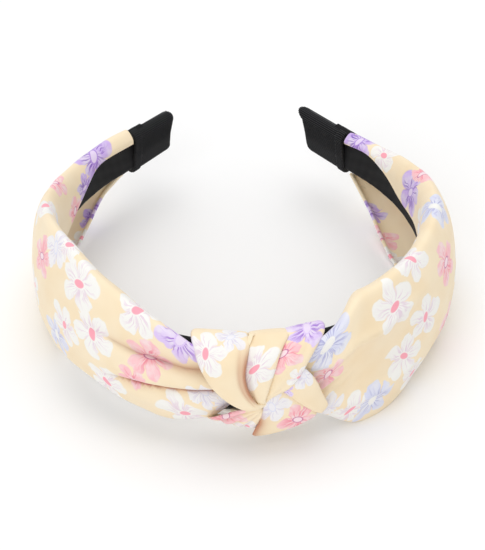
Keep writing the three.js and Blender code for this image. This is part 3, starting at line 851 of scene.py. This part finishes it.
def make_roll():
    """The little rolled end of cloth on the top edge: a tube along a short bent path
    whose radius swells in its middle."""
    path = through([0, 1, 2, 3], ROLL_PATH, np.linspace(0, 3, ROLL_ROWS))[:, None]
    swell = np.sin(math.pi * np.linspace(0.06, 0.94, ROLL_ROWS))[:, None]
    radius = 0.75 * swell**0.5
    turn = (np.arange(ROLL_RING) + 1) / ROLL_RING * 2 * math.pi
    rings = on_band(path[..., 0] + radius * np.cos(turn), path[..., 1] + radius * np.sin(turn),
                    path[..., 2] + 0.4 * radius * np.cos(turn + 1))
    turn = np.append(turn, turn[-1] + 2 * math.pi / ROLL_RING)
    rows = np.arange(ROLL_ROWS)[:, None] * 0.25
    weave = np.stack(np.broadcast_arrays(rows, turn[None, :]), -1)
    return ring_mesh("rolled_end_cloth", rings, weave)


# ---------------------------------------------------------------- materials


class Wiring:
    """A material and short ways to add and join its nodes."""

    def __init__(self, name):
        self.material = bpy.data.materials.new(name)
        self.material.use_nodes = True
        self.tree = self.material.node_tree
        self.shader = self.tree.nodes["Principled BSDF"]

    def add(self, kind, inputs=None, **settings):
        node = self.tree.nodes.new(kind)
        for key, value in settings.items():
            setattr(node, key, value)
        for key, value in (inputs or {}).items():
            self.put(node.inputs[key], value)
        return node

    def put(self, socket, value):
        if isinstance(value, bpy.types.NodeSocket):
            self.tree.links.new(value, socket)
        else:
            socket.default_value = value

    def math(self, operation, *values):
        node = self.add("ShaderNodeMath", operation=operation)
        for socket, value in zip(node.inputs, values):
            self.put(socket, value)
        return node.outputs[0]

    def step(self, value, low, high):
        """0 below low, 1 above high and smooth between, or the reverse."""
        return self.add("ShaderNodeMapRange", {"Value": value, "From Min": low,
                                               "From Max": high},
                        interpolation_type="SMOOTHSTEP").outputs["Result"]

    def mix(self, share, first, second, blend="MIX"):
        node = self.add("ShaderNodeMix", data_type="RGBA", blend_type=blend)
        self.put(node.inputs[0], share)
        for socket, value in ((node.inputs[6], first), (node.inputs[7], second)):
            self.put(socket, value if isinstance(value, bpy.types.NodeSocket)
                     else (*value, 1.0))
        return node.outputs[2]

    def noise(self, vector, scale, detail=2.0):
        return self.add("ShaderNodeTexNoise", {"Vector": vector, "Scale": scale,
                                               "Detail": detail}).outputs[0]

    def uv(self, name):
        return self.add("ShaderNodeUVMap", uv_map=name).outputs[0]

    def split(self, vector):
        return self.add("ShaderNodeSeparateXYZ", {"Vector": vector}).outputs

    def join(self, *parts):
        node = self.add("ShaderNodeCombineXYZ")
        for socket, value in zip(node.inputs, parts):
            self.put(socket, value)
        return node.outputs[0]

    def by_kind(self, kind, palette):
        """One colour for each kind of flower."""
        node = self.add("ShaderNodeValToRGB", {"Fac": kind})
        ramp = node.color_ramp
        ramp.interpolation = "CONSTANT"
        for index, colour in enumerate(palette):
            place = index / KIND_STEPS
            element = ramp.elements[0] if not index else ramp.elements.new(place)
            element.position, element.color = place, (*colour, 1.0)
        ramp.elements.remove(ramp.elements[-1])
        return node.outputs[0]

    def bump(self, height, strength, distance):
        return self.add("ShaderNodeBump", {"Height": height, "Strength": strength,
                                           "Distance": distance}).outputs[0]

    def object_place(self):
        return self.add("ShaderNodeTexCoord").outputs["Object"]


YARN_PITCH = 0.00038


def printed_cloth():
    """Cream cloth with five-petalled flowers: the edge of a flower is a power of the
    cosine of two and a half times the angle, with strokes that run out from the middle."""
    tone = colours()
    w = Wiring("printed_cloth")
    x, y, _ = w.split(w.uv("bloom"))
    kind, seed, _ = w.split(w.uv("kind"))
    offset = w.math("MULTIPLY", seed, 40.0)
    place = w.join(x, y, offset)
    wobble = w.math("SUBTRACT", w.noise(place, 1.5), 0.5)
    x_square, y_square = w.math("MULTIPLY", x, x), w.math("MULTIPLY", y, y)
    distance = w.math("SQRT", w.math("ADD", x_square, y_square))
    radius = w.math("ADD", distance, w.math("MULTIPLY", wobble, 0.42))
    angle = w.math("ADD", w.math("ARCTAN2", y, x), w.math("MULTIPLY", wobble, 1.1))
    lobe = w.math("ABSOLUTE", w.math("COSINE", w.math("MULTIPLY", angle, 2.5)))
    edge = w.math("ADD", w.math("MULTIPLY", w.math("POWER", lobe, 0.5), 0.66), 0.34)
    petal = w.step(w.math("SUBTRACT", edge, radius), -0.02, 0.05)
    ray = w.join(w.math("MULTIPLY", w.math("COSINE", angle), 5.0),
                 w.math("MULTIPLY", w.math("SINE", angle), 5.0), w.math("ADD", offset, radius))
    stroke = w.step(w.noise(ray, 1.3, 3.0), 0.50, 0.60)
    stroke = w.math("MULTIPLY", stroke, w.step(radius, 0.95, 0.25))
    veins = w.math("MULTIPLY", w.step(lobe, 0.35, 0.05), w.step(radius, 0.75, 0.35))
    stroke = w.math("MAXIMUM", stroke, w.math("MULTIPLY", veins, 0.7))
    heart = w.math("SQRT", w.math("ADD", x_square, w.math("MULTIPLY", y_square, 3.2)))
    centre = w.step(heart, 0.26, 0.20)
    ring = w.math("MULTIPLY", w.step(heart, 0.33, 0.28), w.step(heart, 0.20, 0.26))
    cream, white, lilac = tuple(tone.cream), tuple(tone.white), tuple(tone.lilac)
    # petal, stroke, centre and the ring round it, by kind
    palette = (
        (cream,) * 4,
        (white, srgb(233, 215, 227), tuple(tone.blush), white),
        (tuple(tone.coral), srgb(243, 142, 160), srgb(250, 226, 232), srgb(206, 128, 170)),
        (lilac, srgb(168, 126, 214), srgb(236, 222, 246), lilac),
        (tuple(tone.periwinkle), srgb(184, 185, 222), white, white),
        (srgb(205, 176, 238), srgb(128, 84, 190), srgb(230, 214, 244), srgb(176, 140, 222)),
        (srgb(242, 240, 243), srgb(222, 216, 232), srgb(240, 238, 243), srgb(226, 228, 244)),
        (white,) * 4)
    petals, strokes, centres, rings = (w.by_kind(kind, part) for part in zip(*palette))
    vector = w.uv("weave")
    ground = w.mix(w.step(w.noise(vector, 60.0), 0.35, 0.75), cream,
                   tuple(tone.deep_cream))
    soft = w.step(w.noise(place, 2.2), 0.35, 0.7)
    body = w.mix(w.math("MULTIPLY", soft, 0.5), petals, white)
    body = w.mix(stroke, body, strokes)
    body = w.mix(ring, body, rings)
    body = w.mix(centre, body, centres)
    colour = w.mix(petal, ground, body)
    # painted shade: the fold attribute darkens the cloth towards the fold colour in folds,
    # pleats and shaded edges
    fold = w.add("ShaderNodeAttribute", attribute_name="fold").outputs["Fac"]
    colour = w.mix(w.step(fold, 0.0, 1.0), colour, tuple(tone.fold_shade), "MULTIPLY")
    warp, weft = (w.math("SINE", w.math("MULTIPLY", axis, 2 * math.pi / YARN_PITCH))
                  for axis in w.split(vector)[:2])
    yarn = w.math("MULTIPLY", warp, weft)
    # painted shade: the low cells of the weave, where the bump is lowest, are darkened a
    # little
    colour = w.mix(w.math("MULTIPLY", w.step(yarn, 1.0, -1.0), 0.05), colour,
                   srgb(214, 190, 160), "MULTIPLY")
    crush = w.noise(vector, 260.0, 3.0)
    height = w.math("ADD", w.math("MULTIPLY", yarn, 0.35), w.math("MULTIPLY", crush, 1.2))
    w.put(w.shader.inputs["Base Color"], colour)
    w.put(w.shader.inputs["Normal"], w.bump(height, 0.22, 0.00022))
    w.put(w.shader.inputs["Roughness"], w.math("ADD", w.math("MULTIPLY", crush, 0.14), 0.55))
    w.shader.inputs["Sheen Weight"].default_value = 0.18
    w.shader.inputs["Sheen Roughness"].default_value = 0.45
    w.shader.inputs["Specular IOR Level"].default_value = 0.28
    return w.material


def dark_satin():
    """Close dark satin: long fine threads, a soft gloss and faint lighter clouds that are also
    rougher.
    """
    w = Wiring("dark_satin")
    vector = w.uv("weave")
    stretched = w.add("ShaderNodeMapping",
                      {"Vector": vector, "Scale": (160.0, 2600.0, 1.0)})
    thread = w.noise(stretched.outputs[0], 1.0, 2.0)
    cloud = w.noise(vector, 85.0, 3.0)
    tone = tuple(colours().satin)
    lighter = tuple(1.5 * v + 0.002 for v in tone)
    base = w.mix(w.step(cloud, 0.3, 0.75), tone, lighter)
    w.put(w.shader.inputs["Base Color"],
          w.mix(w.math("MULTIPLY", thread, 0.35), base, lighter))
    w.put(w.shader.inputs["Roughness"], w.math("ADD", w.math("MULTIPLY", cloud, 0.2), 0.44))
    relief = w.math("ADD", thread, w.math("MULTIPLY", cloud, 2.5))
    w.put(w.shader.inputs["Normal"], w.bump(relief, 0.25, 0.00012))
    w.shader.inputs["Specular IOR Level"].default_value = 0.14
    w.shader.inputs["Anisotropic"].default_value = 0.4
    return w.material


def ribbed_ribbon():
    """Matte ribbon: the ribs are in the mesh, with a painted highlight on their crests and
    fine twisted yarn.
    """
    w = Wiring("ribbed_ribbon")
    vector = w.uv("weave")
    a, b, _ = w.split(vector)
    lean = w.math("ADD", w.math("MULTIPLY", a, 2 * math.pi / 0.0003),
                  w.math("MULTIPLY", b, 2 * math.pi / 0.0006))
    yarn = w.math("SINE", lean)
    fuzz = w.noise(vector, 900.0, 3.0)
    tone = tuple(colours().ribbon)
    lighter = tuple(1.8 * v + 0.003 for v in tone)
    share = w.math("ADD", w.math("MULTIPLY", w.step(yarn, -1.0, 1.0), 0.4),
                   w.math("MULTIPLY", fuzz, 0.4))
    # painted highlight: the rib crests are lightened towards a pale grey
    rib = w.math("COSINE", w.math("MULTIPLY", b, 2 * math.pi / sizes().rib_pitch))
    body = w.mix(share, tone, lighter)
    w.put(w.shader.inputs["Base Color"],
          w.mix(w.step(rib, 0.1, 1.0), body, srgb(52, 53, 56)))
    w.put(w.shader.inputs["Roughness"], w.math("ADD", w.math("MULTIPLY", fuzz, 0.2), 0.62))
    w.put(w.shader.inputs["Normal"], w.bump(w.math("ADD", yarn, fuzz), 0.3, 0.00008))
    w.shader.inputs["Sheen Weight"].default_value = 0.03
    w.shader.inputs["Specular IOR Level"].default_value = 0.25
    return w.material


def moulded_core():
    """Dark moulded plastic with a fine grain, inside the satin."""
    w = Wiring("moulded_core")
    vector = w.object_place()
    grain = w.noise(vector, 1400.0, 3.0)
    flow = w.noise(vector, 60.0)
    w.put(w.shader.inputs["Base Color"], w.mix(flow, srgb(38, 38, 40), srgb(58, 58, 60)))
    w.put(w.shader.inputs["Roughness"], w.math("ADD", w.math("MULTIPLY", grain, 0.2), 0.4))
    w.put(w.shader.inputs["Normal"], w.bump(grain, 0.15, 0.0001))
    return w.material


def shared(make):
    """The material of a maker's name, made once."""
    return bpy.data.materials.get(make.__name__) or make()


# ---------------------------------------------------------------- operators


class HEADBAND_OT_stage(bpy.types.Operator):
    """Lay a pale floor, hang soft lights and set the camera"""

    bl_idname = "headband.stage"
    bl_label = "Stage"

    def execute(self, context):
        stage = context.scene.headband_stage
        mesh = bpy.data.meshes.new("floor")
        corners = [(-3, -3, 0), (3, -3, 0), (3, 3, 0), (-3, 3, 0)]
        mesh.from_pydata(corners, [], [(0, 1, 2, 3)])
        floor = bpy.data.objects.new("floor", mesh)
        floor.location.z = CAD_BOX[0].z
        context.scene.collection.objects.link(floor)
        w = Wiring("floor_paper")
        grain = w.noise(w.object_place(), 40.0)
        w.put(w.shader.inputs["Base Color"],
              w.mix(w.math("MULTIPLY", grain, 0.02), tuple(stage.floor),
                    srgb(240, 240, 240)))
        w.shader.inputs["Roughness"].default_value = 0.9
        w.shader.inputs["Specular IOR Level"].default_value = 0.1
        mesh.materials.append(w.material)
        world = bpy.data.worlds.new("soft_room")
        world.use_nodes = True
        background = world.node_tree.nodes["Background"]
        background.inputs[0].default_value = (1, 1, 1, 1)
        background.inputs[1].default_value = stage.room
        context.scene.world = world
        context.scene.view_settings.view_transform = "Standard"
        self.light(context, "top_light", (0.0, 0.25, 1.1), stage.key, 1.0)
        self.light(context, "front_light", (-0.35, -0.9, 0.8), stage.key * 0.75, 0.8)
        camera = bpy.data.objects.new("camera", bpy.data.cameras.new("camera"))
        context.scene.collection.objects.link(camera)
        rise = stage.elevation
        back = Vector((0, -math.cos(rise), math.sin(rise)))
        camera.location = Vector(STAGE_TARGET) + back * stage.distance
        camera.rotation_mode = "QUATERNION"
        camera.rotation_quaternion = (-back).to_track_quat("-Z", "Y")
        camera.data.lens = stage.lens
        camera.data.sensor_width = 36
        camera.data.clip_start = 0.05
        context.scene.camera = camera
        return {"FINISHED"}

    @staticmethod
    def light(context, name, place, power, size):
        """A square light that faces the headband."""
        lamp = bpy.data.lights.new(name, "AREA")
        lamp.energy, lamp.size = power, size
        holder = bpy.data.objects.new(name, lamp)
        holder.location = place
        holder.rotation_mode = "QUATERNION"
        holder.rotation_quaternion = (-Vector(place)).to_track_quat("-Z", "Y")
        context.scene.collection.objects.link(holder)


class HEADBAND_OT_cores(bpy.types.Operator):
    """Give the moulded cores their plastic"""

    bl_idname = "headband.cores"
    bl_label = "Cores"

    def execute(self, context):
        for node in ("crown_core", "left_arm_core", "right_arm_core"):
            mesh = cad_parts[node].data
            mesh.materials.clear()
            mesh.materials.append(shared(moulded_core))
        return {"FINISHED"}


class HEADBAND_OT_satin(bpy.types.Operator):
    """Wrap both halves of the band in satin"""

    bl_idname = "headband.satin"
    bl_label = "Satin"

    def execute(self, context):
        for name, side in SIDES.items():
            piece, flat = make_satin(f"{name}_satin_skin", side)
            finish_piece(piece, shared(dark_satin),
                         [f"{name}_satin_sleeve", "crown_satin_sleeve"],
                         blend=(f"{name}_arm", *FLEX_SPAN[name]))
        return {"FINISHED"}


class HEADBAND_OT_caps(bpy.types.Operator):
    """Sew the ribbed ribbon caps on the tips"""

    bl_idname = "headband.caps"
    bl_label = "Ribbon Caps"

    def execute(self, context):
        ends = {"left": ([-0.8, -1.2, -1.4, -0.8, -0.2], (1.5, 1.8), (-1.0, 0.0)),
                "right": ([-1.4, -0.5, -0.2, 0.6, 4.2], (1.6, 1.8), (-1.0, -0.6))}
        for name, facts in ends.items():
            piece, flat = make_cap(f"{name}_tip_ribbon", SIDES[name], *facts)
            finish_piece(piece, shared(ribbed_ribbon), [f"{name}_tip_cap"],
                         body=f"{name}_arm")
        return {"FINISHED"}


class HEADBAND_OT_panels(bpy.types.Operator):
    """Drape the two printed side panels"""

    bl_idname = "headband.panels"
    bl_label = "Cloth Panels"

    def execute(self, context):
        wall = sizes().cloth_wall / MM
        work = {"left": (LEFT_PANEL, left_folds, LEFT_PRINT),
                "right": (RIGHT_PANEL, right_folds, RIGHT_PRINT)}
        for name, facts in work.items():
            piece, flat = make_panel(f"{name}_panel_cloth", SIDES[name], *facts, wall)
            finish_piece(piece, shared(printed_cloth), [f"{name}_sash_panel"],
                         blend=(f"{name}_arm", *FLEX_SPAN[name]))
        return {"FINISHED"}


class HEADBAND_OT_knot(bpy.types.Operator):
    """Tie the knot from its wraps and tucked ends"""

    bl_idname = "headband.knot"
    bl_label = "Knot"

    def execute(self, context):
        for name, facts in STRANDS.items():
            piece, flat = make_strand(name, facts, sizes().puff)
            if name == "middle_wrap_cloth":
                join_to(piece, make_roll())
            finish_piece(piece, shared(printed_cloth), [facts["node"]],
                         body="crown")
        return {"FINISHED"}


class HEADBAND_PT_build(bpy.types.Panel):
    """Lists the steps, sizes and colours of the headband"""

    bl_label = "Headband"
    bl_space_type = "VIEW_3D"
    bl_region_type = "UI"
    bl_category = "Headband"

    def draw(self, context):
        for step in OPERATORS:
            self.layout.operator(step.bl_idname)
        for group in ("headband_sizes", "headband_colours", "headband_stage"):
            box = self.layout.box()
            settings = getattr(context.scene, group)
            for key in settings.bl_rna.properties.keys():
                if key not in ("rna_type", "name"):
                    box.prop(settings, key)


OPERATORS = (HEADBAND_OT_stage, HEADBAND_OT_cores, HEADBAND_OT_satin, HEADBAND_OT_caps,
             HEADBAND_OT_panels, HEADBAND_OT_knot)
GROUPS = {"headband_sizes": HeadbandSizes, "headband_colours": HeadbandColours,
          "headband_stage": HeadbandStage}
CLASSES = (*GROUPS.values(), *OPERATORS, HEADBAND_PT_build)


def register():
    """Adds the classes and the three groups of settings."""
    for entry in CLASSES:
        bpy.utils.register_class(entry)
    for name, group in GROUPS.items():
        setattr(bpy.types.Scene, name, bpy.props.PointerProperty(type=group))


def unregister():
    """Takes them away again."""
    for name in GROUPS:
        delattr(bpy.types.Scene, name)
    for entry in reversed(CLASSES):
        bpy.utils.unregister_class(entry)


def main():
    """Registers the add-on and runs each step."""
    register()
    for step in OPERATORS:
        group, name = step.bl_idname.split(".")
        getattr(getattr(bpy.ops, group), name)()


if __name__ == "__main__":
    main()
